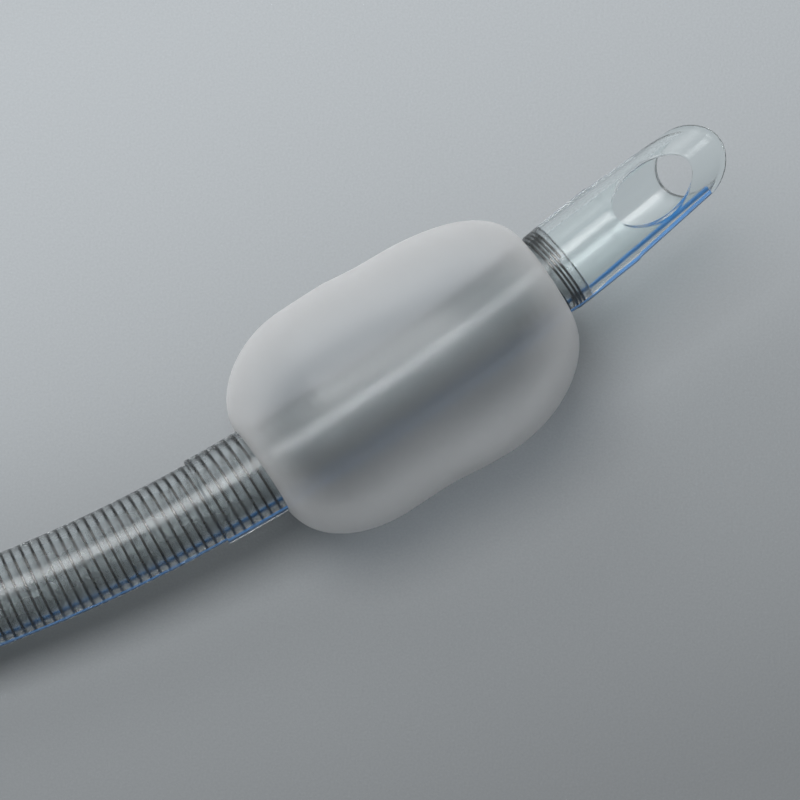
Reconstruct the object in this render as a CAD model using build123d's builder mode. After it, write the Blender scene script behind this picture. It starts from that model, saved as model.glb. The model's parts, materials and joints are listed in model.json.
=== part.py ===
from build123d import *
from math import asin, cos, degrees, hypot, pi, radians, sin, sqrt, tan
import os

# Cuffed, wire-reinforced endotracheal tube, 7.5 mm bore, lying at rest on a table.
# The tube is laid out flat in its own plane: it starts at the connector, follows one long bend
# and a gentler one under the cuff, and ends in a straight bevelled tip. At the end of the script
# all pieces are rolled together onto the cuff, the bend and the connector flange, as the real
# tube lies when it is put down.

# Tube wall, from the lumen outwards
bore_diameter = 7.5
liner_wall = 0.28
coil_space = 0.64  # radial room for the wire between liner and jacket
jacket_wall = 0.43

# Lengths along the centreline, from the connector end to the tip
seat_length = 13.0  # unreinforced end sleeve, stretched over the connector
seat_taper = 2.0
shaft_length = 205.0
cuff_collar_length = 7.5  # proximal collar, bonded to the tube
cuff_length = 40.0  # balloon, from rim to rim
wire_beyond_cuff = 3.0
tip_length = 23.2  # clear tip beyond the wire
shaft_bend_radius = 190.0
cuff_bend_radius = 300.0

# Reinforcing wire
wire_pitch = 1.19
wire_width = 0.34
wire_clearance = 0.015
sides_per_turn = 9
close_pitch = 0.48  # the last turns at each end lie close together
close_turns = 3
wire_end_gap = 0.4

# Cuff
cuff_diameter = 27.8
cuff_wall = 0.22
proximal_shoulder = 12.0
distal_shoulder = 15.0
collar_wall = 0.4
turned_under = 2.0  # how far the proximal collar runs on under the balloon
inner_collar_length = 4.0  # distal collar, turned in under the balloon
neck_lip = 0.45  # edge of the distal collar that shows beyond the balloon
bond_gap = 0.02

# Soft tip
tip_overlap = 2.4  # its sleeve over the end of the jacket
tip_base_diameter = 10.6
tip_step_station = 7.0
tip_step = 0.12
tip_nose_diameter = 8.5
tip_wall_base = 1.35
tip_wall_nose = 0.95
bevel_angle = 45.0
lip_radius = 0.38
eye_length = 10.9
eye_width = 6.4
eye_station = 13.2  # centre of the side eye, from the end of the wire
eye_roll = 6.0

# Radiopaque line, set flush into the convex side
line_width = 0.75
line_depth = 0.26
line_end_gap = 0.9  # stops this far short of the bevel

# Inflation channel, in the concave side
channel_width = 0.8
channel_depth = 0.2
channel_inlet_station = 92.0
port_station = 9.0  # under the balloon, from its proximal rim
port_diameter = 1.1

# Connector, 15 mm male cone
cone_base_diameter = 15.47
cone_length = 16.5
cone_taper = 1 / 40
flange_diameter = 19.0
flange_thickness = 2.2
neck_length = 2.5
neck_diameter = 11.4
shank_diameter = 8.2
shank_bore = 6.2
seat_clearance = 0.01
mouth_diameter = 12.6
mouth_depth = 12.0
funnel_length = 5.0
edge_radius = 0.35

# Working values: how far a cutter runs past what it cuts, and the search for the pose at rest
cut_margin = 1.0
first_tilt = 0.1
tilt_rounds = 40

# Radii that follow
lumen = bore_diameter / 2
liner_radius = lumen + liner_wall
jacket_bore = liner_radius + coil_space
tube_radius = jacket_bore + jacket_wall
shank_radius = shank_diameter / 2
seat_radius = shank_radius + seat_clearance
seat_wall = tube_radius - lumen
flange_radius = flange_diameter / 2
crown_radius = cuff_diameter / 2
collar_radius = tube_radius + bond_gap + collar_wall
neck_radius = tube_radius + bond_gap + collar_wall / 2
tip_radius = tip_base_diameter / 2
nose_radius = tip_nose_diameter / 2

# Stations along the centreline
shaft_start = seat_length + seat_taper
collar_start = shaft_start + shaft_length
cuff_start = collar_start + cuff_collar_length
cuff_end = cuff_start + cuff_length
wire_end = cuff_end + wire_beyond_cuff

# Centreline, in the plane of the tube, from the connector to the end of the wire
half_bend = degrees(shaft_length / shaft_bend_radius) / 2
cuff_bend = degrees((wire_end - collar_start) / cuff_bend_radius)
with BuildLine() as centreline:
    bend_entry = Vector(-shaft_bend_radius * sin(radians(half_bend)), 0)
    start_direction = Vector(1, 0).rotate(Axis.Z, -half_bend)
    seat_run = Line(bend_entry - start_direction * shaft_start, bend_entry)
    shaft_run = JernArc(seat_run @ 1, seat_run % 1, shaft_bend_radius, 2 * half_bend)
    cuff_run = JernArc(shaft_run @ 1, shaft_run % 1, cuff_bend_radius, cuff_bend)
runs = (
    (0, shaft_start, seat_run),
    (shaft_start, collar_start, shaft_run),
    (collar_start, wire_end, cuff_run),
)


def section(station):
    """Plane across the tube: x points up, y to the convex side, z towards the tip."""
    first, last, run = next(r for r in runs if station <= r[1] or r is runs[-1])
    along = (station - first) / (last - first)
    return Plane(origin=run @ along, x_dir=(0, 0, 1), z_dir=run % along)


def stretch(first, last):
    """The centreline from one station to another."""
    parts = []
    for start, end, run in runs:
        low, high = max(first, start), min(last, end)
        if high > low:
            span = end - start
            parts.append(run.trim((low - start) / span, (high - start) / span))
    return Wire(parts)


def sleeve(first, last, outer, inner):
    """A round tube on the centreline, added to the part that is being built."""
    with BuildSketch(section(first)) as wall:
        Circle(outer)
        Circle(inner, mode=Mode.SUBTRACT)
    sweep(wall.sketch, path=stretch(first, last))


# Inner liner
with BuildPart() as inner_liner:
    sleeve(shaft_start, wire_end, liner_radius, lumen)

# End sleeve, moulded without wire, that takes the connector's shank
with BuildPart() as end_sleeve:
    seat_plane = Plane(origin=seat_run @ 0, x_dir=seat_run % 0, z_dir=(0, 0, 1))
    with BuildSketch(seat_plane):
        with BuildLine():
            Polyline(
                (0, seat_radius),
                (seat_length, seat_radius),
                (shaft_start, lumen),
                (shaft_start, tube_radius),
                (seat_length, seat_radius + seat_wall),
                (0, seat_radius + seat_wall),
                close=True,
            )
        make_face()
    revolve(axis=Axis(seat_plane.origin, seat_plane.x_dir))

# Outer jacket, with the groove for the line, and the inflation channel with its two holes
with BuildPart() as outer_jacket:
    with BuildSketch(section(shaft_start)):
        Circle(tube_radius)
        Circle(jacket_bore, mode=Mode.SUBTRACT)
        with Locations((0, tube_radius)):
            Rectangle(line_width, 2 * line_depth, mode=Mode.SUBTRACT)
    sweep(path=stretch(shaft_start, wire_end))
    channel_end = cuff_start + port_station
    with BuildSketch(section(channel_inlet_station)):
        with Locations((0, -jacket_bore)):
            Rectangle(channel_width, 2 * channel_depth)
    sweep(path=stretch(channel_inlet_station, channel_end), mode=Mode.SUBTRACT)
    for station in (channel_inlet_station, channel_end):
        hole = section(station)
        with BuildSketch(Plane(origin=hole.origin, x_dir=hole.z_dir, z_dir=-hole.y_dir)):
            Circle(port_diameter / 2)
        extrude(amount=tube_radius + cut_margin, mode=Mode.SUBTRACT)


# Reinforcing wire, one continuous helix with its end turns wound close
def wire_rise(turn, turns):
    """How far the helix climbs in one step of the given turn."""
    at_end = turn < close_turns or turn >= turns - close_turns
    return (close_pitch if at_end else wire_pitch) / sides_per_turn


wire_start = shaft_start + wire_end_gap
wire_stop = wire_end - wire_end_gap
open_length = wire_stop - wire_start - 2 * close_turns * close_pitch - wire_width
wire_turns = 2 * close_turns + int(open_length / wire_pitch)
wire_slack = open_length - (wire_turns - 2 * close_turns) * wire_pitch
wire_inner = (liner_radius + wire_clearance) / cos(pi / sides_per_turn)
wire_outer = jacket_bore - wire_clearance


def wire_section(station, turn_angle):
    """Triangle across the wire: two corners on the outside of the helix, one on the inside."""
    corners = ((-wire_width / 2, wire_outer), (wire_width / 2, wire_outer), (0, wire_inner))
    points = []
    for shift, radius in corners:
        across = section(station + shift)
        points.append(across.from_local_coords((radius * cos(turn_angle), radius * sin(turn_angle), 0)))
    return Wire.make_polygon(points)


wire_sections = []
wire_station = wire_start + wire_slack + wire_width / 2
for step in range(wire_turns * sides_per_turn + 1):
    wire_sections.append(wire_section(wire_station, 2 * pi * step / sides_per_turn))
    wire_station += wire_rise(step // sides_per_turn, wire_turns)
with BuildPart() as wire_coil:
    add(Solid.make_loft(wire_sections, ruled=True))

# Cuff: a thin balloon turned about the line through its two rims, on swept collars
rim_start, rim_end = section(cuff_start).origin, section(cuff_end).origin
balloon_length = (rim_end - rim_start).length
balloon_axis = Plane(origin=rim_start, x_dir=rim_end - rim_start, z_dir=(0, 0, 1))


def balloon_outline(inset, mode):
    """Half section of the balloon, down to its axis, moved inwards by the inset."""
    crown = crown_radius - inset
    first, last = inset, balloon_length - inset
    shoulder = crown - neck_radius
    with BuildSketch(balloon_axis) as half:
        with BuildLine():
            crown_first = proximal_shoulder
            crown_last = balloon_length - distal_shoulder
            Polyline((crown_first, 0), (first, 0), (first, neck_radius))
            EllipticalCenterArc(
                (crown_first, neck_radius), crown_first - first, shoulder, start_angle=90, arc_size=90
            )
            Line((crown_first, crown), (crown_last, crown))
            EllipticalCenterArc(
                (crown_last, neck_radius), last - crown_last, shoulder, start_angle=0, arc_size=90
            )
            Polyline((last, neck_radius), (last, 0), (crown_first, 0))
        make_face()
    revolve(half.sketch, axis=Axis(balloon_axis.origin, balloon_axis.x_dir), mode=mode)


with BuildPart() as cuff:
    balloon_outline(0, Mode.ADD)
    balloon_outline(cuff_wall, Mode.SUBTRACT)
    sleeve(collar_start, cuff_start + turned_under, collar_radius, lumen)
    sleeve(cuff_end - inner_collar_length, cuff_end + neck_lip, collar_radius, lumen)
    with BuildSketch(section(collar_start)):
        Circle(tube_radius + bond_gap)
    sweep(path=stretch(collar_start, wire_end), mode=Mode.SUBTRACT)

# Soft tip, turned, then cut by the bevel and the side eye
tip_direction = cuff_run % 1
eye_side = Vector(0, 0, 1).rotate(Axis((0, 0, 0), tip_direction), eye_roll)
tip_frame = Plane(origin=cuff_run @ 1, x_dir=tip_direction, z_dir=eye_side)
tip_axis = Axis(tip_frame.origin, tip_direction)
step_radius = tip_radius - tip_step
bevel_reach = nose_radius / tan(radians(bevel_angle))
line_end = tip_length - bevel_reach - line_end_gap


def tip_surface(station):
    """Outer radius of the tip beyond its step."""
    share = (station - tip_step_station) / (tip_length - tip_step_station)
    return step_radius + (nose_radius - step_radius) * share


# The line's stretch in the tip follows the taper of its surface
line_half_angle = degrees(asin(line_width / 2 / tube_radius))
line_side = Vector(0, 0, -1).rotate(Axis((0, 0, 0), tip_direction), -line_half_angle)
step_end = tip_step_station + tip_step
with BuildPart() as tip_line:
    with BuildSketch(Plane(origin=tip_frame.origin, x_dir=tip_direction, z_dir=line_side)):
        with BuildLine():
            Polyline(
                (0, tip_radius - line_depth),
                (0, tip_radius),
                (tip_step_station, tip_radius),
                (step_end, tip_surface(step_end)),
                (line_end, tip_surface(line_end)),
                (line_end, tip_surface(line_end) - line_depth),
                (step_end, tip_surface(step_end) - line_depth),
                close=True,
            )
        make_face()
    revolve(axis=tip_axis, revolution_arc=2 * line_half_angle)

with BuildPart() as soft_tip:
    with BuildSketch(tip_frame):
        with BuildLine():
            Polyline(
                (0, tip_radius - tip_wall_base),
                (0, tube_radius + bond_gap),
                (-tip_overlap, tube_radius + bond_gap),
                (-tip_overlap, tip_radius),
                (tip_step_station, tip_radius),
                (step_end, tip_surface(step_end)),
                (tip_length, nose_radius),
                (tip_length, nose_radius - tip_wall_nose),
                close=True,
            )
        make_face()
    revolve(axis=tip_axis)
    apex = tip_frame.from_local_coords((tip_length, 0, nose_radius))
    bevel_angle_in_radians = radians(bevel_angle)
    bevel_normal = tip_direction * sin(bevel_angle_in_radians) - eye_side * cos(bevel_angle_in_radians)
    split(bisect_by=Plane(origin=apex, x_dir=tip_frame.y_dir, z_dir=bevel_normal), keep=Keep.BOTTOM)
    bevel_face = soft_tip.faces().filter_by(lambda face: face.normal_at().dot(bevel_normal) > 0.999)
    fillet(bevel_face.edges(), lip_radius)
    with BuildSketch(tip_frame):
        with Locations((eye_station, 0)):
            Ellipse(eye_length / 2, eye_width / 2)
    extrude(amount=tip_radius + cut_margin, mode=Mode.SUBTRACT)
    add(tip_line.part, mode=Mode.SUBTRACT)

# Radiopaque line
with BuildPart() as radiopaque_line:
    with BuildSketch(section(shaft_start)):
        Circle(tube_radius)
        with Locations((0, tube_radius)):
            Rectangle(line_width, 2 * line_depth, mode=Mode.INTERSECT)
    sweep(path=stretch(shaft_start, wire_end))
    add(tip_line.part)

# Connector
with BuildPart() as connector:
    cone_end_radius = cone_base_diameter / 2 - cone_length * cone_taper / 2
    flange_back = -neck_length - flange_thickness
    cone_end = flange_back - cone_length
    with BuildSketch(seat_plane):
        with BuildLine():
            Polyline(
                (seat_length - edge_radius, shank_radius),
                (0, shank_radius),
                (0, neck_diameter / 2),
                (-neck_length, neck_diameter / 2),
                (-neck_length, flange_radius),
                (flange_back, flange_radius),
                (flange_back, cone_base_diameter / 2),
                (cone_end, cone_end_radius),
                (cone_end, mouth_diameter / 2),
                (cone_end + mouth_depth, mouth_diameter / 2),
                (cone_end + mouth_depth + funnel_length, shank_bore / 2),
                (seat_length, shank_bore / 2),
                (seat_length, shank_radius - edge_radius),
                (seat_length - edge_radius, shank_radius),
            )
        make_face()
    revolve(axis=Axis(seat_plane.origin, seat_plane.x_dir))
    fillet(connector.edges().filter_by(GeomType.CIRCLE).group_by(SortBy.RADIUS)[-1], edge_radius)

# The pose at rest: the up direction for which cuff, bend and flange reach equally low
bend_centre = shaft_run.arc_center
flange_foot = seat_plane.from_local_coords((-neck_length, 0, 0))
cuff_foot = balloon_axis.from_local_coords((proximal_shoulder, 0, 0))


def depth_of(centre, axis, radius, up):
    """Height of the lowest point of a ring, above the origin."""
    return centre.dot(up) - radius * sqrt(1 - axis.dot(up) ** 2)


def cuff_depth(up):
    """Height of the lowest point of the cuff's elliptical shoulder."""
    rise = balloon_axis.x_dir.dot(up)
    across = sqrt(1 - rise**2)
    shoulder = hypot(proximal_shoulder * rise, (crown_radius - neck_radius) * across)
    return cuff_foot.dot(up) - neck_radius * across - shoulder


def bend_foot(up):
    """Point of the shaft's centreline that comes lowest."""
    return bend_centre - Vector(up.X, up.Y).normalized() * shaft_bend_radius


up = Vector(0, 0, 1)
tilt = Vector(0, first_tilt, 0)
for _ in range(tilt_rounds):
    up = Vector(tilt.X, tilt.Y, sqrt(1 - tilt.length**2))
    foot = bend_foot(up)
    to_cuff, to_flange = cuff_foot - foot, flange_foot - foot
    cuff_drop = cuff_foot.dot(up) - cuff_depth(up)
    flange_drop = flange_foot.dot(up) - depth_of(flange_foot, seat_plane.x_dir, flange_radius, up)
    lift_cuff, lift_flange = cuff_drop - tube_radius, flange_drop - tube_radius
    turn = to_cuff.X * to_flange.Y - to_cuff.Y * to_flange.X
    tilt = Vector(
        (lift_cuff * to_flange.Y - lift_flange * to_cuff.Y) / turn,
        (to_cuff.X * lift_flange - to_flange.X * lift_cuff) / turn,
    )
level = Vector(1, 0, 0) - up * up.X
lying = Plane(origin=(0, 0, 0), x_dir=level, z_dir=up).location.inverse()

pieces = {
    "inner_liner": inner_liner,
    "outer_jacket": outer_jacket,
    "end_sleeve": end_sleeve,
    "wire_coil": wire_coil,
    "cuff": cuff,
    "soft_tip": soft_tip,
    "radiopaque_line": radiopaque_line,
    "connector": connector,
}
for piece in pieces.values():
    piece.part.move(lying)
extent = Compound([piece.part for piece in pieces.values()]).bounding_box()
floor_centre = Vector(extent.center().X, extent.center().Y, extent.min.Z)
os.makedirs("parts", exist_ok=True)
for name, piece in pieces.items():
    piece.part.move(Location(floor_centre * -1))
    piece.part.label = name
    export_step(piece.part, f"parts/{name}.step")
print("tilt of the tube's plane", round(up.get_angle(Vector(0, 0, 1)), 2), "size", extent.size)
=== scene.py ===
import json
import math
import random

import bpy
from mathutils import Matrix, Vector


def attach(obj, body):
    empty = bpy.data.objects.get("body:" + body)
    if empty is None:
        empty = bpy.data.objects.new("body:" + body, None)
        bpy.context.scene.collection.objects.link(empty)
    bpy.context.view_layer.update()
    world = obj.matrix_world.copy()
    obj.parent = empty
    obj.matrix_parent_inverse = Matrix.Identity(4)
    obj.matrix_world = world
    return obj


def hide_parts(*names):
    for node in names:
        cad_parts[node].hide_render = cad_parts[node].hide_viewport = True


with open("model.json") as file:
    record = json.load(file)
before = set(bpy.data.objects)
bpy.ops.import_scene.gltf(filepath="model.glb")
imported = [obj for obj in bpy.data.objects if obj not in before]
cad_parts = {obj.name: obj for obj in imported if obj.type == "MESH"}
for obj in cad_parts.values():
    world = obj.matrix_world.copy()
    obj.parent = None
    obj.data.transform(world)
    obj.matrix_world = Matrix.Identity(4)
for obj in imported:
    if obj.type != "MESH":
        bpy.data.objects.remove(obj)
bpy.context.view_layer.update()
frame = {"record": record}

scene = bpy.context.scene
scene.view_settings.view_transform = "Standard"
mm = 0.001

# The tube's path. Stations count from the connector end towards the tip, in millimetres
path = {
    "bore": 7.5,  # across
    "outer": 10.2,
    "shankInside": 13.0,  # how deep the connector's shank reaches into the tube
    "shaftStart": 15.0,  # straight up to here
    "shaftEnd": 220.0,
    "shaftBend": 190.0,  # radius of the bend
    "cuffStart": 227.5,
    "cuffEnd": 267.5,
    "cuffBend": 300.0,  # and past the shaft, under the cuff
    "wireEnd": 270.5,  # the soft tip begins here
    "tipLength": 23.2,
}
bore, outer = path["bore"] / 2, path["outer"] / 2
shaftStart, wireEnd = path["shaftStart"], path["wireEnd"]


def mountOf(name):
    found = next(m for m in frame["record"]["mounts"] if m["name"] == name)
    return Vector(found["pos_m"]), Vector(found["axis"]).normalized(), found["dims"]


# Where the tube lies: its axis at the connector and the plane of its bend
lumenMid, outwards, lumenDims = mountOf("connector_lumen")
seatAxis = -outwards
planeUp = seatAxis.cross(mountOf("pilot_line_inlet")[1]).normalized()
seatOrigin = lumenMid + seatAxis * (lumenDims["length_mm"] / 2 - path["shankInside"]) * mm
bendEntry = seatOrigin + seatAxis * shaftStart * mm


def followArc(point, direction, radius, length):
    # The arc bends towards the inside of the tube's curve
    middle = point + planeUp.cross(direction) * radius * mm
    turn = Matrix.Rotation(length / radius, 3, planeUp)
    return middle + turn @ (point - middle), turn @ direction


def centre(station):
    # Point and direction of the centreline, with straight runs beyond its ends
    if station <= shaftStart:
        return bendEntry + seatAxis * (station - shaftStart) * mm, seatAxis.copy()
    shaftEnd = path["shaftEnd"]
    length = min(station, shaftEnd) - shaftStart
    point, direction = followArc(bendEntry, seatAxis, path["shaftBend"], length)
    if station > shaftEnd:
        length = min(station, wireEnd) - shaftEnd
        point, direction = followArc(point, direction, path["cuffBend"], length)
    if station > wireEnd:
        point = point + direction * (station - wireEnd) * mm
    return point, direction


def around(station, angle, radius):
    # Point beside the centreline: 0 is up out of the bend's plane, a quarter turn its convex side
    point, direction = centre(station)
    side = direction.cross(planeUp)
    return point + (planeUp * math.cos(angle) + side * math.sin(angle)) * radius * mm


def span(first, last, count):
    return [first + (last - first) * i / (count - 1) for i in range(count)]


def fullTurn(columns):
    return [2 * math.pi * column / columns for column in range(columns)]


def easeStep(value, middle, width):
    share = min(max((value - middle) / width + 0.5, 0.0), 1.0)
    return share * share * (3 - 2 * share)


def ringFaces(rows, columns, closed=False):
    # Quads between rows of points, each row a closed ring; closed also joins the last row to the first
    faces = []
    for row in range(rows if closed else rows - 1):
        low, high = row * columns, (row + 1) % rows * columns
        for column in range(columns):
            after = (column + 1) % columns
            faces.append((low + column, low + after, high + after, high + column))
    return faces


def addPiece(name, mesh):
    piece = bpy.data.objects.new(name, mesh)
    scene.collection.objects.link(piece)
    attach(piece, "root")
    return piece


def meshPiece(name, points, faces, material, sharpAngle=40):
    mesh = bpy.data.meshes.new(name)
    mesh.from_pydata([tuple(point) for point in points], [], faces)
    mesh.validate()
    mesh.polygons.foreach_set("use_smooth", [True] * len(mesh.polygons))
    mesh.set_sharp_from_angle(angle=math.radians(sharpAngle))
    mesh.materials.append(material)
    return addPiece(name, mesh)


# Materials. Each may have a bump (scale, strength, distance), a gloss (scale, lowest and highest
# roughness), a tone (scale, dimmest share of the colour), a rim (two pairs of slant and
# transmission) and a pass (share of the lamps' light that goes through each surface)
looks = {
    "clearPlastic": {
        "values": {"Base Color": (0.805, 0.848, 0.858, 1), "IOR": 1.34, "Transmission Weight": 1.0},
        "bump": (180, 0.05, 0.0002),
        "gloss": (240, 0.22, 0.3),
        "tone": (60, 0.96),
        "pass": (0.55, 0.57, 0.575),
    },
    "tipPlastic": {
        "values": {
            "Base Color": (0.94, 0.988, 0.99, 1),
            "IOR": 1.27,
            "Transmission Weight": 0.96,
            "Specular IOR Level": 0.9,
        },
        "gloss": (160, 0.13, 0.18),
        "tone": (90, 0.975),
        "pass": (0.88, 0.9, 0.905),
    },
    "cuffFilm": {
        "values": {
            "Base Color": (0.985, 0.995, 1.0, 1),
            "IOR": 1.22,
            "Subsurface Weight": 1.0,
            "Subsurface Radius": (0.001, 0.001, 0.001),
            "Sheen Weight": 0.3,
            "Sheen Roughness": 0.5,
        },
        "bump": (260, 0.03, 0.0003),
        "gloss": (120, 0.31, 0.34),
        "tone": (70, 0.985),
        "rim": ((0.12, 0.965), (0.85, 0.42)),
        "pass": (0.82, 0.83, 0.84),
    },
    "wireSteel": {
        "values": {"Base Color": (0.175, 0.17, 0.166, 1), "Metallic": 1.0},
        "bump": (900, 0.05, 0.0001),
        "gloss": (500, 0.16, 0.26),
        "tone": (300, 0.85),
    },
    "linePigment": {
        "values": {"Base Color": (0.004, 0.2, 0.56, 1)},
        "bump": (400, 0.1, 0.0002),
        "gloss": (200, 0.3, 0.42),
        "tone": (300, 0.85),
    },
    "connectorPlastic": {
        "values": {
            "Base Color": (0.82, 0.86, 0.88, 1),
            "IOR": 1.49,
            "Subsurface Weight": 0.25,
            "Subsurface Radius": (0.002, 0.002, 0.002),
        },
        "bump": (120, 0.08, 0.0004),
        "gloss": (150, 0.2, 0.32),
        "tone": (60, 0.94),
    },
    "floorPaint": {"values": {"Roughness": 0.75}, "bump": (2600, 0.25, 0.0002)},
}
noiseDetail = 3.0
noiseCore = (0.35, 0.65)  # most of the noise lies between these


def mapRange(tree, value, fromRange, toRange):
    node = tree.nodes.new("ShaderNodeMapRange")
    node.inputs["From Min"].default_value, node.inputs["From Max"].default_value = fromRange
    node.inputs["To Min"].default_value, node.inputs["To Max"].default_value = toRange
    tree.links.new(value, node.inputs["Value"])
    return node.outputs["Result"]


def noiseOf(tree, scale):
    coordinates = tree.nodes.new("ShaderNodeTexCoord")
    noise = tree.nodes.new("ShaderNodeTexNoise")
    noise.inputs["Scale"].default_value = scale
    noise.inputs["Detail"].default_value = noiseDetail
    tree.links.new(coordinates.outputs["Object"], noise.inputs["Vector"])
    return noise.outputs["Fac"]


def addBump(tree, principled, scale, strength, distance):
    # Fine unevenness of the surface
    bump = tree.nodes.new("ShaderNodeBump")
    bump.inputs["Strength"].default_value = strength
    bump.inputs["Distance"].default_value = distance
    tree.links.new(noiseOf(tree, scale), bump.inputs["Height"])
    tree.links.new(bump.outputs["Normal"], principled.inputs["Normal"])


def addGloss(tree, principled, scale, lowest, highest):
    # Smears and handling marks
    roughness = mapRange(tree, noiseOf(tree, scale), noiseCore, (lowest, highest))
    tree.links.new(roughness, principled.inputs["Roughness"])


def addTone(tree, principled, scale, dimmest, source=None):
    # The colour, taken down a little here and there
    tone = tree.nodes.new("ShaderNodeVectorMath")
    tone.operation = "SCALE"
    if source is None:
        tone.inputs[0].default_value = principled.inputs["Base Color"].default_value[:3]
    else:
        tree.links.new(source, tone.inputs[0])
    tree.links.new(mapRange(tree, noiseOf(tree, scale), noiseCore, (dimmest, 1.0)), tone.inputs["Scale"])
    tree.links.new(tone.outputs["Vector"], principled.inputs["Base Color"])


def addRim(tree, principled, faced, edge):
    # A thin frosted film looks milkier where it is seen at a slant
    slant = tree.nodes.new("ShaderNodeLayerWeight")
    clear = mapRange(tree, slant.outputs["Facing"], (faced[0], edge[0]), (faced[1], edge[1]))
    tree.links.new(clear, principled.inputs["Transmission Weight"])


def addPass(tree, principled, *tint):
    # Clear plastic lets the lamps through to what is inside and under it
    lightPath = tree.nodes.new("ShaderNodeLightPath")
    indirect = tree.nodes.new("ShaderNodeMath")
    indirect.operation = "MAXIMUM"
    through = tree.nodes.new("ShaderNodeBsdfTransparent")
    through.inputs["Color"].default_value = (*tint, 1)
    either = tree.nodes.new("ShaderNodeMixShader")
    tree.links.new(lightPath.outputs["Is Shadow Ray"], indirect.inputs[0])
    tree.links.new(lightPath.outputs["Is Diffuse Ray"], indirect.inputs[1])
    tree.links.new(indirect.outputs[0], either.inputs[0])
    tree.links.new(principled.outputs[0], either.inputs[1])
    tree.links.new(through.outputs[0], either.inputs[2])
    tree.links.new(either.outputs[0], tree.nodes["Material Output"].inputs["Surface"])


def makeMaterial(name):
    material = bpy.data.materials.new(name)
    material.use_nodes = True
    tree = material.node_tree
    principled = tree.nodes["Principled BSDF"]
    for socket, value in looks[name]["values"].items():
        principled.inputs[socket].default_value = value
    additions = {"bump": addBump, "gloss": addGloss, "tone": addTone, "rim": addRim, "pass": addPass}
    for kind, add in additions.items():
        if kind in looks[name]:
            add(tree, principled, *looks[name][kind])
    return material


# Wall of the tube: one clear moulding around the wire
wall = {
    "seatOuter": 5.46,
    "seatInner": 4.11,
    "collarRadius": 5.5,
    "sleeveRadius": 5.3,  # under the tip's sleeve
    # Runs of one radius, as first station, last station and how many points
    "seatRun": (0.6, 12.4, 8),
    "shaftRun": (15.0, 268.1, 170),
    "collarRun": (220.6, 228.8, 9),
    "seatInsideRun": (12.5, 0.0, 8),
    # Corners between the runs, as station and radius
    "seatEdge": ((0.0, 5.34), (0.12, 5.46)),
    "seatFall": ((13.2, 5.38), (14.5, 5.13)),
    "collarRise": ((220.0, 5.1), (220.02, 5.36), (220.16, 5.5)),
    "collarFall": ((229.0, 5.4), (229.1, 5.1)),
    "collarMargin": 0.4,  # no point of the shaft's run lies this close to the collar
    "sleeveRise": ((268.5, 5.27), (270.45, 5.3)),
    "boreEnd": (270.45, 3.75),
    "shankFall": ((14.4, 3.8), (13.3, 4.06)),
    "columns": 72,
}


def makeWall():
    def run(name, radius):
        return [(station, radius) for station in span(*wall[name])]

    collarFrom = wall["collarRise"][0][0] - wall["collarMargin"]
    collarTo = wall["collarFall"][-1][0] + wall["collarMargin"]
    shaft = run("shaftRun", outer)
    profile = [*wall["seatEdge"], *run("seatRun", wall["seatOuter"]), *wall["seatFall"]]
    profile += [corner for corner in shaft if corner[0] < collarFrom]
    profile += [*wall["collarRise"], *run("collarRun", wall["collarRadius"]), *wall["collarFall"]]
    profile += [corner for corner in shaft if corner[0] > collarTo]
    profile += [*wall["sleeveRise"], wall["boreEnd"], *reversed(run("shaftRun", bore))]
    profile += [*wall["shankFall"], *run("seatInsideRun", wall["seatInner"])]
    points = []
    for station, radius in profile:
        points += [around(station, angle, radius) for angle in fullTurn(wall["columns"])]
    faces = ringFaces(len(profile), wall["columns"], closed=True)
    return meshPiece("tubeWall", points, faces, makeMaterial("clearPlastic"))


tubeWall = makeWall()
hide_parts("outer_jacket", "inner_liner", "end_sleeve")
print("tube wall made")

# Reinforcing wire, wound by Geometry Nodes along the centreline
coil = {
    "radius": 4.38,
    "wireRadius": 0.145,
    "pitch": 1.19,
    "closePitch": 0.48,
    "closeTurns": 3,
    "endGap": 0.6,  # left free at both ends of the reinforced wall
    "stepsPerTurn": 22,
    "sides": 9,
    "pathStep": 1.0,  # between the points of the line that the wire is wound around
}


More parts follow.
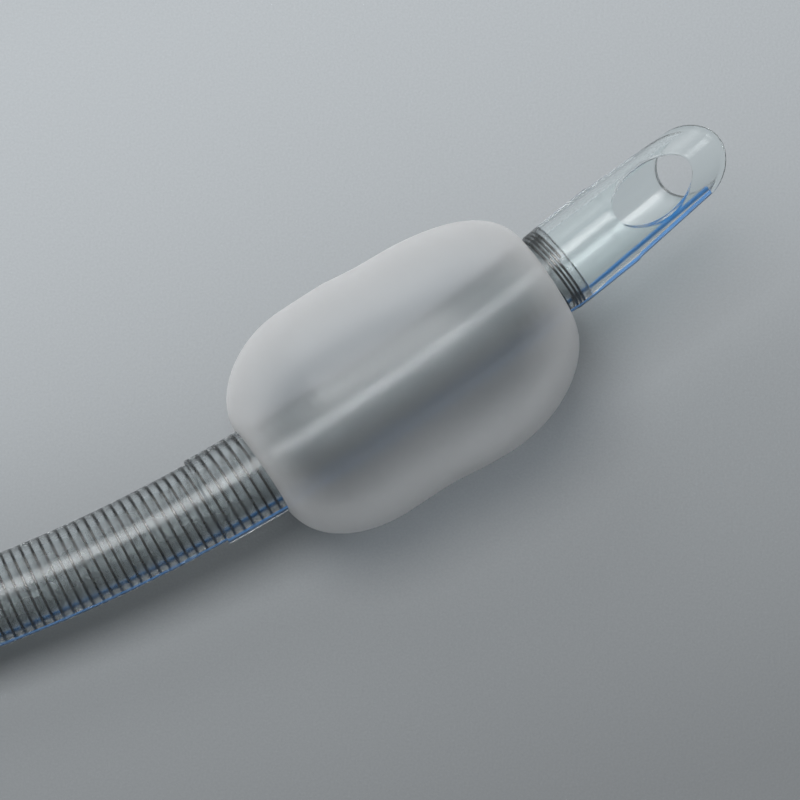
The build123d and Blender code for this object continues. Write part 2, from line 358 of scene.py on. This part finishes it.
def buildCoilTree(material):
    tree = bpy.data.node_groups.new("woundWire", "GeometryNodeTree")
    sockets = {"Geometry": "Geometry", "Steps Per Turn": "Int", "Sides": "Int", "Plane Normal": "Vector"}
    for name in ("Start", "Pitch", "Close Pitch", "Close Turns", "Turns", "Coil Radius", "Wire Radius"):
        sockets[name] = "Float"
    for name, kind in sockets.items():
        tree.interface.new_socket(name=name, in_out="INPUT", socket_type="NodeSocket" + kind)
    tree.interface.new_socket(name="Geometry", in_out="OUTPUT", socket_type="NodeSocketGeometry")
    nodes, links = tree.nodes, tree.links
    given = nodes.new("NodeGroupInput").outputs
    result = nodes.new("NodeGroupOutput")

    def feed(socket, value):
        if isinstance(value, bpy.types.NodeSocket):
            links.new(value, socket)
        else:
            socket.default_value = value

    def maths(operation, *values):
        node = nodes.new("ShaderNodeMath")
        node.operation = operation
        for socket, value in zip(node.inputs, values):
            feed(socket, value)
        return node.outputs[0]

    def vectors(operation, first, second=None, scale=None):
        node = nodes.new("ShaderNodeVectorMath")
        node.operation = operation
        feed(node.inputs[0], first)
        if second is not None:
            feed(node.inputs[1], second)
        if scale is not None:
            feed(node.inputs["Scale"], scale)
        return node.outputs[0]

    # How far along the centreline each step of the helix is: close turns, open turns, close turns
    turn = maths("DIVIDE", nodes.new("GeometryNodeInputIndex").outputs[0], given["Steps Per Turn"])
    openTurns = maths("SUBTRACT", given["Turns"], maths("MULTIPLY", given["Close Turns"], 2.0))
    firstClose = maths("MINIMUM", turn, given["Close Turns"])
    afterFirst = maths("MAXIMUM", maths("SUBTRACT", turn, given["Close Turns"]), 0.0)
    opened = maths("MINIMUM", afterFirst, openTurns)
    lastClose = maths("MAXIMUM", maths("SUBTRACT", afterFirst, openTurns), 0.0)
    closeRise = maths("MULTIPLY", maths("ADD", firstClose, lastClose), given["Close Pitch"])
    rise = maths("ADD", maths("MULTIPLY", opened, given["Pitch"]), closeRise)

    # Where that is, and the way from there out to the wire
    toCurve = nodes.new("GeometryNodeMeshToCurve")
    links.new(given["Geometry"], toCurve.inputs[0])
    sample = nodes.new("GeometryNodeSampleCurve")
    sample.mode = "LENGTH"
    links.new(toCurve.outputs[0], sample.inputs["Curves"])
    feed(sample.inputs["Length"], maths("ADD", rise, given["Start"]))
    angle = maths("MULTIPLY", turn, 2 * math.pi)
    side = vectors("CROSS_PRODUCT", sample.outputs["Tangent"], given["Plane Normal"])
    upShare = vectors("SCALE", given["Plane Normal"], scale=maths("COSINE", angle))
    sideShare = vectors("SCALE", side, scale=maths("SINE", angle))
    reach = vectors("SCALE", vectors("ADD", upShare, sideShare), scale=given["Coil Radius"])

    # The helix itself, and the round wire along it
    beads = nodes.new("GeometryNodeMeshLine")
    steps = maths("ADD", maths("MULTIPLY", given["Turns"], given["Steps Per Turn"]), 1.0)
    feed(beads.inputs["Count"], steps)
    place = nodes.new("GeometryNodeSetPosition")
    links.new(beads.outputs[0], place.inputs["Geometry"])
    links.new(vectors("ADD", sample.outputs["Position"], reach), place.inputs["Position"])
    helix = nodes.new("GeometryNodeMeshToCurve")
    links.new(place.outputs[0], helix.inputs[0])
    rim = nodes.new("GeometryNodeCurvePrimitiveCircle")
    feed(rim.inputs["Resolution"], given["Sides"])
    feed(rim.inputs["Radius"], given["Wire Radius"])
    tube = nodes.new("GeometryNodeCurveToMesh")
    links.new(helix.outputs[0], tube.inputs["Curve"])
    links.new(rim.outputs[0], tube.inputs["Profile Curve"])
    tube.inputs["Fill Caps"].default_value = True
    smooth = nodes.new("GeometryNodeSetShadeSmooth")
    links.new(tube.outputs[0], smooth.inputs[0])
    real = nodes.new("GeometryNodeRealizeInstances")
    links.new(smooth.outputs[0], real.inputs[0])
    dress = nodes.new("GeometryNodeSetMaterial")
    links.new(real.outputs[0], dress.inputs[0])
    dress.inputs["Material"].default_value = material
    links.new(dress.outputs[0], result.inputs[0])
    return tree


def windWire():
    closeTurns = coil["closeTurns"]
    windStart, windStop = shaftStart + coil["endGap"], wireEnd - coil["endGap"]
    openLength = windStop - windStart - 2 * closeTurns * coil["closePitch"]
    openTurns = int(openLength / coil["pitch"])
    start = windStart + openLength - openTurns * coil["pitch"]
    stations = span(shaftStart, wireEnd, int((wireEnd - shaftStart) / coil["pathStep"]) + 1)
    guide = bpy.data.meshes.new("wireGuide")
    edges = [(i, i + 1) for i in range(len(stations) - 1)]
    guide.from_pydata([tuple(centre(station)[0]) for station in stations], edges, [])
    guideObject = bpy.data.objects.new("wireGuide", guide)
    scene.collection.objects.link(guideObject)
    modifier = guideObject.modifiers.new("wind", "NODES")
    modifier.node_group = buildCoilTree(makeMaterial("wireSteel"))
    values = {
        "Start": (start - shaftStart) * mm,
        "Pitch": coil["pitch"] * mm,
        "Close Pitch": coil["closePitch"] * mm,
        "Close Turns": float(closeTurns),
        "Turns": float(openTurns + 2 * closeTurns),
        "Coil Radius": coil["radius"] * mm,
        "Wire Radius": coil["wireRadius"] * mm,
        "Steps Per Turn": coil["stepsPerTurn"],
        "Sides": coil["sides"],
        "Plane Normal": tuple(planeUp),
    }
    for item in modifier.node_group.interface.items_tree:
        if item.in_out == "INPUT" and item.name in values:
            modifier[item.identifier] = values[item.name]
    guideObject.update_tag()
    evaluated = guideObject.evaluated_get(bpy.context.evaluated_depsgraph_get())
    wound = bpy.data.meshes.new_from_object(evaluated)
    wound.name = "wire"
    bpy.data.objects.remove(guideObject)
    return addPiece("wire", wound)


wire = windWire()
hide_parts("wire_coil")
print("wire wound,", len(wire.data.polygons), "faces")

# Soft tip, with its side eye and bevel. Its own stations count from the end of the wire
tip = {
    "baseRadius": 5.3,
    "sleeveEnd": 7.25,  # where the sleeve over the tube's end steps down
    "sleeveStep": 0.12,
    "sleeveBlend": 0.6,
    "taperFrom": 7.0,
    "noseRadius": 4.25,
    "noseFrom": 18.6,  # from here the outside rounds in towards the lip
    "noseDrop": 0.22,
    "innerBase": 3.95,
    "innerNose": 3.3,
    "bevel": 45.0,  # degrees
    "bevelEnd": 22.76,  # its furthest point, without the lip
    "lip": 0.34,  # how far the lip stands out from the bevel
    "lipRings": 8,
    "roll": 6.0,  # degrees that the eye is turned about the tip
    "eyeAt": 12.8,
    "eyeLength": 10.9,
    "eyeWidth": 6.4,
    "eyeEdge": 0.16,  # rounding
    "edgeRings": 4,
    "columns": 112,
    "rows": 100,
    "patchRows": (27, 86),  # the grid is left out between these, around the eye
    "patchHalf": 17,  # columns to each side of the eye
    "patchRings": 9,
    "sharpAngle": 60,
}
tipOrigin, tipDirection = centre(wireEnd)
eyeUp = Matrix.Rotation(math.radians(tip["roll"]), 3, tipDirection) @ planeUp
eyeSide = tipDirection.cross(eyeUp)


def tipOuter(station):
    sleeveless = tip["baseRadius"] - tip["sleeveStep"]
    along = max(station - tip["taperFrom"], 0.0) / (path["tipLength"] - tip["taperFrom"])
    rounding = max(station - tip["noseFrom"], 0.0) / (path["tipLength"] - tip["noseFrom"])
    stepped = tip["baseRadius"] - tip["sleeveStep"] * easeStep(station, tip["sleeveEnd"], tip["sleeveBlend"])
    return stepped - (sleeveless - tip["noseRadius"]) * along - tip["noseDrop"] * rounding**2


def tipInner(station):
    return tip["innerBase"] + (tip["innerNose"] - tip["innerBase"]) * station / path["tipLength"]


def bevelStation(angle, radius):
    # Where the bevel cuts a line of the surface, from the surface's radius at the nose
    below = tip["noseRadius"] - radius * math.cos(angle)
    return tip["bevelEnd"] - below / math.tan(math.radians(tip["bevel"]))


def tipPoint(station, angle, radius):
    across = eyeUp * math.cos(angle) + eyeSide * math.sin(angle)
    return tipOrigin + (tipDirection * station + across * radius) * mm


def eyePlace(station, angle, radiusOf, grow):
    # Point of the eye's outline, grown outwards, that a point of the surface looks at
    long, wide = tip["eyeLength"] / 2, tip["eyeWidth"] / 2
    towards = math.atan2(radiusOf(station) * math.sin(angle) / wide, (station - tip["eyeAt"]) / long)
    normal = Vector((math.cos(towards) / long, math.sin(towards) / wide)).normalized()
    along = tip["eyeAt"] + long * math.cos(towards) + normal.x * grow
    across = wide * math.sin(towards) + normal.y * grow
    return along, math.asin(across / radiusOf(along))


def makeTip():
    columns, rows, half = tip["columns"], tip["rows"], tip["patchHalf"]
    firstRow, lastRow = tip["patchRows"]
    points, faces = [], []

    def joinRings(first, second, flip):
        count = len(first)
        for i in range(count):
            after = (i + 1) % count
            quad = (first[i], first[after], second[after], second[i])
            faces.append(quad[::-1] if flip else quad)

    def addRing(made):
        points.extend(made)
        return list(range(len(points) - len(made), len(points)))

    def addSurface(radiusOf, noseRadius, flip):
        # A grid from the base to the bevel; returns its rows and the border of the patch left out
        grid, places = [], {}
        for row in range(rows + 1):
            ring = []
            for column, angle in enumerate(fullTurn(columns)):
                station = row / rows * bevelStation(angle, noseRadius)
                places[row, column] = (station, angle - 2 * math.pi if angle > math.pi else angle)
                ring.append(tipPoint(station, angle, radiusOf(station)))
            grid.append(addRing(ring))
        for row in range(rows):
            for column in range(columns):
                signed = column if column < columns / 2 else column - columns
                if firstRow <= row < lastRow and -half <= signed < half:
                    continue
                after = (column + 1) % columns
                low, high = grid[row], grid[row + 1]
                quad = (low[column], low[after], high[after], high[column])
                faces.append(quad[::-1] if flip else quad)
        loop = [(firstRow, column) for column in range(-half, half)]
        loop += [(row, half) for row in range(firstRow, lastRow)]
        loop += [(lastRow, column) for column in range(half, -half, -1)]
        loop += [(row, -half) for row in range(lastRow, firstRow, -1)]
        border = [(row, column % columns) for row, column in loop]
        return grid, [grid[row][column] for row, column in border], [places[spot] for spot in border]

    def addEye(border, places, radiusOf, inwards, flip):
        # Rings from the border of the patch to the eye, then over its rounded edge
        previous, grow = border, tip["eyeEdge"]
        targets = [eyePlace(station, angle, radiusOf, grow) for station, angle in places]
        for ring in range(1, tip["patchRings"] + 1):
            share = ring / tip["patchRings"]
            made = []
            for (station, angle), (toStation, toAngle) in zip(places, targets):
                at = station + (toStation - station) * share
                made.append(tipPoint(at, angle + (toAngle - angle) * share, radiusOf(at)))
            current = addRing(made)
            joinRings(previous, current, flip)
            previous = current
        for ring in range(1, tip["edgeRings"] + 1):
            bend = math.pi / 2 * ring / tip["edgeRings"]
            sunk = eyeUp * inwards * grow * (1 - math.cos(bend)) * mm
            made = []
            for station, angle in places:
                at, turn = eyePlace(station, angle, radiusOf, grow * (1 - math.sin(bend)))
                made.append(tipPoint(at, turn, radiusOf(at)) - sunk)
            current = addRing(made)
            joinRings(previous, current, flip)
            previous = current
        return previous

    outerGrid, border, places = addSurface(tipOuter, tip["noseRadius"], False)
    outerEye = addEye(border, places, tipOuter, 1, False)
    innerGrid, border, places = addSurface(tipInner, tip["innerNose"], True)
    innerEye = addEye(border, places, tipInner, -1, True)
    joinRings(outerEye, innerEye, False)
    joinRings(outerGrid[0], innerGrid[0], True)

    # The lip rounds over from the outside of the bevel to its inside
    outerEnd, innerEnd = outerGrid[rows], innerGrid[rows]
    steep = math.radians(tip["bevel"])
    bevelNormal = tipDirection * math.sin(steep) - eyeUp * math.cos(steep)
    previous = outerEnd
    for ring in range(1, tip["lipRings"]):
        bend = math.pi * ring / tip["lipRings"]
        reach = bevelNormal * tip["lip"] * mm * math.sin(bend)
        made = []
        for outerPoint, innerPoint in zip(outerEnd, innerEnd):
            middle = (points[outerPoint] + points[innerPoint]) / 2
            made.append(middle + (points[outerPoint] - middle) * math.cos(bend) + reach)
        current = addRing(made)
        joinRings(previous, current, False)
        previous = current
    joinRings(previous, innerEnd, False)

    used = sorted({vertex for face in faces for vertex in face})
    renumber = {old: new for new, old in enumerate(used)}
    faces = [tuple(renumber[vertex] for vertex in face) for face in faces]
    kept = [points[vertex] for vertex in used]
    return meshPiece("softTip", kept, faces, makeMaterial("tipPlastic"), tip["sharpAngle"])


softTip = makeTip()
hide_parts("soft_tip")
print("soft tip made,", len(softTip.data.polygons), "faces")

# Radiopaque line, just under the surface on the convex side
line = {
    "width": 0.85,
    "depth": 0.5,
    "tipDepth": 0.8,
    "deepens": (2.0, 3.0),  # where along the tip, and over how long
    "under": 0.05,
    "crown": 0.33,  # share of the width between the two middle points of its top
    "tubeRun": (15.0, 270.2, 150),  # first station, last station and how many points
    "tipRun": (270.5, 289.0, 40),
    "ontoSleeve": (268.4, 1.2),  # where it rises to the sleeve, and over how long
}


def makeLine():
    # Corners of its section: whether on top, and the share of half the width
    crown = line["crown"]
    corners = ((True, -1), (True, -crown), (True, crown), (True, 1), (False, 1), (False, -1))
    stations = span(*line["tubeRun"]) + span(*line["tipRun"])
    points = []
    for station in stations:
        along = station - wireEnd
        raised = outer + (wall["sleeveRadius"] - outer) * easeStep(station, *line["ontoSleeve"])
        top = (tipOuter(along) if along > 0 else raised) - line["under"]
        deepened = (line["tipDepth"] - line["depth"]) * easeStep(along, *line["deepens"])
        bottom = top - line["depth"] - deepened
        halfAngle = math.asin(line["width"] / 2 / top)
        for onTop, share in corners:
            points.append(around(station, math.pi / 2 + share * halfAngle, top if onTop else bottom))
    faces = ringFaces(len(stations), len(corners))
    faces.append(tuple(range(len(corners)))[::-1])
    faces.append(tuple(range(len(points) - len(corners), len(points))))
    return meshPiece("blueLine", points, faces, makeMaterial("linePigment"))


blueLine = makeLine()
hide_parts("radiopaque_line")
print("radiopaque line made")

# Cuff: a thin frosted balloon between its two necks
cuff = {
    "crownRadius": 13.88,
    "neckRadius": 5.3,
    "film": 0.16,
    "filmAtNeck": 0.7,  # least share of the film where the shoulder is steep
    "proximalShoulder": 12.0,
    "distalShoulder": 15.0,
    "skewProximal": 0.35,  # the balloon sits a little off the tube's axis
    "skewDistal": -0.7,
    "skewReach": 0.55,  # share of the length that each skew covers
    "folds": 5,
    "foldsAround": (5, 17),
    "foldSizes": (0.4, 1.0),
    "foldDepth": 0.09,
    "foldReach": 6.0,  # along the cuff, from each neck
    "foldRise": 3.0,  # up the shoulder, to a fold's full depth
    "distalFolds": 0.7,
    "foldSeed": 7,
    "columns": 168,
    "rows": 96,
    "sharpAngle": 60,
}


def cuffRadius(along, length, inset):
    share = max(1 - along / cuff["proximalShoulder"], 1 - (length - along) / cuff["distalShoulder"], 0.0)
    rise = cuff["crownRadius"] - inset - cuff["neckRadius"]
    return cuff["neckRadius"] + rise * math.sqrt(max(1 - share * share, 0.0))


def makeCuff():
    rimStart, rimEnd = centre(path["cuffStart"])[0], centre(path["cuffEnd"])[0]
    axis = rimEnd - rimStart
    length = axis.length / mm
    axis.normalize()
    concave = planeUp.cross(axis)
    draw = random.Random(cuff["foldSeed"])
    folds = [
        (draw.randint(*cuff["foldsAround"]), draw.uniform(0, 2 * math.pi), draw.uniform(*cuff["foldSizes"]))
        for i in range(cuff["folds"])
    ]

    def skewAt(share):
        reach = cuff["skewReach"]
        skew = cuff["skewProximal"] * math.sin(math.pi * share / reach) if share < reach else 0.0
        fromEnd = 1 - share
        return skew + (cuff["skewDistal"] * math.sin(math.pi * fromEnd / reach) if fromEnd < reach else 0.0)

    def ring(along, radius):
        middle = rimStart + (axis * along + concave * skewAt(along / length)) * mm
        nearStart = math.exp(-along / cuff["foldReach"])
        nearEnd = cuff["distalFolds"] * math.exp(-(length - along) / cuff["foldReach"])
        upShoulder = min((radius - cuff["neckRadius"]) / cuff["foldRise"], 1.0)
        depth = cuff["foldDepth"] * (nearStart + nearEnd) * upShoulder
        made = []
        for angle in fullTurn(cuff["columns"]):
            wave = sum(size * math.sin(count * angle + phase) for count, phase, size in folds)
            direction = planeUp * math.cos(angle) - concave * math.sin(angle)
            made.append(middle + direction * (radius + depth * wave) * mm)
        return made

    film, rows = cuff["film"], cuff["rows"]
    alongs = [length * (0.5 - 0.5 * math.cos(math.pi * row / rows)) for row in range(rows + 1)]
    points = []
    for along in alongs:
        points += ring(along, cuffRadius(along, length, 0.0))
    for along in reversed(alongs):
        inner = min(max(along, film), length - film)
        outside = cuffRadius(inner, length, 0.0)
        points += ring(inner, min(cuffRadius(inner, length, film), outside - film * cuff["filmAtNeck"]))
    faces = ringFaces(2 * len(alongs), cuff["columns"], closed=True)
    return meshPiece("cuffBalloon", points, faces, makeMaterial("cuffFilm"), cuff["sharpAngle"])


cuffBalloon = makeCuff()
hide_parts("cuff")
print("cuff made")

# Connector, turned
connector = {
    "shankRadius": 4.1,
    "shankBore": 3.1,
    "shoulderGap": 0.02,  # between the end of the tube and the connector's neck
    "neckLength": 2.5,
    "neckRadius": 5.7,
    "flangeRadius": 9.5,
    "flangeThickness": 2.2,
    "coneBase": 7.735,
    "coneLength": 16.5,
    "coneTaper": 1 / 40,
    "mouthRadius": 6.3,
    "mouthDepth": 12.0,
    "funnel": 5.0,
    "cornerSteps": 4,
    "columns": 96,
}


def roundedCorner(corner, before, after, rounding):
    # Points of a small fillet at a corner of a profile
    corner, before, after = Vector(corner), Vector(before), Vector(after)
    start = corner + (before - corner).normalized() * rounding
    stop = corner + (after - corner).normalized() * rounding
    made = []
    for share in span(0.0, 1.0, connector["cornerSteps"] + 1):
        made.append(tuple(start * (1 - share) ** 2 + corner * 2 * share * (1 - share) + stop * share**2))
    return made


def makeConnector():
    c = connector
    shankEnd = path["shankInside"]
    flangeBack = -c["neckLength"] - c["flangeThickness"]
    coneEnd = flangeBack - c["coneLength"]
    coneEndRadius = c["coneBase"] - c["coneLength"] * c["coneTaper"] / 2
    mouthEnd = coneEnd + c["mouthDepth"]
    corners = [  # along, radius, rounding
        (shankEnd, c["shankBore"], 0.25),
        (shankEnd, c["shankRadius"], 0.35),
        (c["shoulderGap"], c["shankRadius"], 0.0),
        (c["shoulderGap"], c["neckRadius"], 0.25),
        (-c["neckLength"], c["neckRadius"], 0.6),
        (-c["neckLength"], c["flangeRadius"], 0.35),
        (flangeBack, c["flangeRadius"], 0.35),
        (flangeBack, c["coneBase"], 0.5),
        (coneEnd, coneEndRadius, 0.4),
        (coneEnd, c["mouthRadius"], 0.3),
        (mouthEnd, c["mouthRadius"], 1.0),
        (mouthEnd + c["funnel"], c["shankBore"], 1.0),
    ]
    profile = []
    for i, (along, radius, rounding) in enumerate(corners):
        before, after = corners[i - 1], corners[(i + 1) % len(corners)]
        if rounding:
            profile += roundedCorner((along, radius), before[:2], after[:2], rounding)
        else:
            profile.append((along, radius))
    side = seatAxis.cross(planeUp)
    points = []
    for along, radius in profile:
        for angle in fullTurn(c["columns"]):
            direction = planeUp * math.cos(angle) + side * math.sin(angle)
            points.append(seatOrigin + (seatAxis * along + direction * radius) * mm)
    faces = [face[::-1] for face in ringFaces(len(profile), c["columns"], closed=True)]
    return meshPiece("connector", points, faces, makeMaterial("connectorPlastic"))


tubeConnector = makeConnector()
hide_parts("connector")
print("connector made")

# Floor, light and camera, in metres and degrees
stage = {
    "floorSize": 3.0,
    "floorPaintedFalloff": (  # painted light falloff along the fall of the light: how far, and how bright
        (-0.055, 0.555), (-0.03, 0.51), (-0.01, 0.46), (0.006, 0.355), (0.028, 0.32), (0.055, 0.225),
    ),
    "floorTint": (0.945, 1.005, 1.05),
    "floorTone": (3500, 0.95),  # scale, dimmest share
    "fallDirection": (0.3, -0.95),
    "fallMiddle": (0.1074, 0.0114),
    "worldColor": (0.85, 0.88, 0.9),
    "worldStrength": 0.2,
    "worldThroughClear": 0.55,
    "lamps": {  # direction, distance, size, power
        "keyLight": ((-0.19, 0.024, 0.98), 0.6, 0.34, 2.6),
        "windowLight": ((-0.444, 0.652, 0.611), 0.7, 0.45, 1.05),
    },
    "viewAzimuth": -1.8,
    "viewElevation": 69.7,
    "viewTarget": (0.10755, 0.00581, 0.0150),
    "viewWidth": 0.0930,
    "viewDistance": 0.75,
    "sensorWidth": 36.0,
    "clipStart": 0.01,
}


def paintFloor():
    # Pale grey with painted light: brighter towards the lamps, darker away from them, and a fine speckle
    paint = makeMaterial("floorPaint")
    tree = paint.node_tree
    nodes, links = tree.nodes, tree.links
    coordinates = nodes.new("ShaderNodeTexCoord")
    alongFall = nodes.new("ShaderNodeVectorMath")
    alongFall.operation = "DOT_PRODUCT"
    direction = Vector((*stage["fallDirection"], 0)).normalized()
    alongFall.inputs[1].default_value = direction
    links.new(coordinates.outputs["Object"], alongFall.inputs[0])
    stops = stage["floorPaintedFalloff"]
    first, last = stops[0][0], stops[-1][0]
    middle = direction.dot(Vector((*stage["fallMiddle"], 0)))
    # Painted light: this ramp makes the floor's colour brighter towards the lamps and darker away from them
    ramp = nodes.new("ShaderNodeValToRGB")
    ramp.color_ramp.interpolation = "B_SPLINE"
    while len(ramp.color_ramp.elements) < len(stops):
        ramp.color_ramp.elements.new(0.5)
    for element, (at, value) in zip(ramp.color_ramp.elements, stops):
        element.position = (at - first) / (last - first)
        element.color = (*(value * tint for tint in stage["floorTint"]), 1)
    fall = mapRange(tree, alongFall.outputs["Value"], (middle + first, middle + last), (0.0, 1.0))
    links.new(fall, ramp.inputs["Fac"])
    addTone(tree, nodes["Principled BSDF"], *stage["floorTone"], ramp.outputs["Color"])
    return paint


def makeFloor():
    half = stage["floorSize"] / 2
    mesh = bpy.data.meshes.new("floor")
    corners = [(-half, -half, 0), (half, -half, 0), (half, half, 0), (-half, half, 0)]
    mesh.from_pydata(corners, [], [(0, 1, 2, 3)])
    mesh.materials.append(paintFloor())
    floor = bpy.data.objects.new("floor", mesh)
    scene.collection.objects.link(floor)


def makeWorld():
    world = bpy.data.worlds.new("studio")
    world.use_nodes = True
    tree = world.node_tree
    background = tree.nodes["Background"]
    background.inputs["Color"].default_value = (*stage["worldColor"], 1)
    # Clear pieces see a paler room behind them than the one that lights them
    lightPath = tree.nodes.new("ShaderNodeLightPath")
    strengths = (stage["worldStrength"], stage["worldThroughClear"])
    strength = mapRange(tree, lightPath.outputs["Is Transmission Ray"], (0.0, 1.0), strengths)
    tree.links.new(strength, background.inputs["Strength"])
    scene.world = world


def aimAtTarget(piece, direction, distance):
    target = Vector(stage["viewTarget"])
    piece.location = target + Vector(direction).normalized() * distance
    piece.rotation_euler = (target - piece.location).to_track_quat("-Z", "Y").to_euler()
    scene.collection.objects.link(piece)


def makeLamps():
    for name, (direction, distance, size, power) in stage["lamps"].items():
        lamp = bpy.data.lights.new(name, "AREA")
        lamp.shape = "DISK"
        lamp.size = size
        lamp.energy = power
        aimAtTarget(bpy.data.objects.new(name, lamp), direction, distance)


def makeCamera():
    azimuth, elevation = math.radians(stage["viewAzimuth"]), math.radians(stage["viewElevation"])
    level = -math.cos(elevation)
    direction = (level * math.sin(azimuth), level * math.cos(azimuth), math.sin(elevation))
    data = bpy.data.cameras.new("view")
    data.sensor_width = stage["sensorWidth"]
    data.lens = data.sensor_width * stage["viewDistance"] / stage["viewWidth"]
    data.clip_start = stage["clipStart"]
    camera = bpy.data.objects.new("view", data)
    aimAtTarget(camera, direction, stage["viewDistance"])
    scene.camera = camera


makeFloor()
makeWorld()
makeLamps()
makeCamera()
print("stage set")
